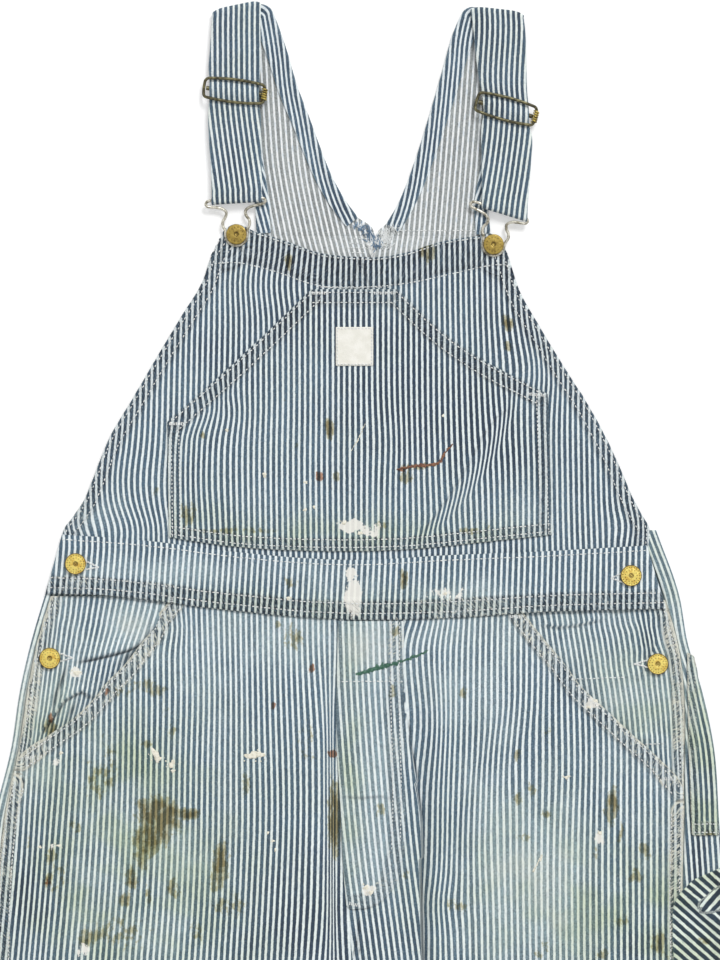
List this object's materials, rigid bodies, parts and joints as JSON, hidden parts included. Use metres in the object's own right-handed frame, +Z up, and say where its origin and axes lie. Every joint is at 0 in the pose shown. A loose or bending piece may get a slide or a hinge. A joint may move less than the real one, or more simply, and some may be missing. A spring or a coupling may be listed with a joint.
{
  "type": "bib overalls laid flat",
  "caption": "Worn hickory-stripe bib overalls with paint spatters, laid flat front up, with chest pocket, hip pockets, fly, hooked straps and brass buttons.",
  "frame": {"origin": "middle of the garment's outline, on the surface it lies on", "axes": "+Y from the hems up to the shoulder folds, +X across to the viewer's right, +Z up out of the front"},
  "size_m": [0.5425, 1.4681, 0.0109],
  "materials": {
    "hickory_cloth": "worn indigo and white striped twill, stained and paint spattered",
    "reverse_cloth": "pale inside face of the striped twill",
    "label_cloth": "bare cream woven tab",
    "stamped_brass": "worn stamped brass",
    "slide_wire": "darkened antique brass wire",
    "hook_wire": "dull plated wire"
  },
  "bodies": {
    "root": {"back_leg_l": "hickory_cloth", "back_leg_r": "hickory_cloth", "neck_strip_l": "hickory_cloth", "neck_strip_r": "hickory_cloth", "arm_strip_l": "hickory_cloth", "arm_strip_r": "hickory_cloth", "side_facing_l": "hickory_cloth", "side_facing_r": "hickory_cloth", "front_leg_l": "hickory_cloth", "front_leg_r": "hickory_cloth", "fly_front": "hickory_cloth", "bib": "hickory_cloth", "bib_pocket": "hickory_cloth", "waistband": "hickory_cloth", "rule_pocket": "hickory_cloth", "hammer_loop": "hickory_cloth", "strap_l": "hickory_cloth", "strap_r": "hickory_cloth", "back_rise_l": "reverse_cloth", "back_rise_r": "reverse_cloth", "back_yoke_l": "reverse_cloth", "back_yoke_r": "reverse_cloth", "bib_label": "label_cloth", "bib_button_l": "stamped_brass", "bib_button_r": "stamped_brass", "side_button_l1": "stamped_brass", "side_button_l2": "stamped_brass", "side_button_r1": "stamped_brass", "side_button_r2": "stamped_brass", "slide_l": "slide_wire", "slide_r": "slide_wire", "roller_l": "slide_wire", "roller_r": "slide_wire", "hook_l": "hook_wire", "hook_r": "hook_wire"}
  },
  "joints": []
}
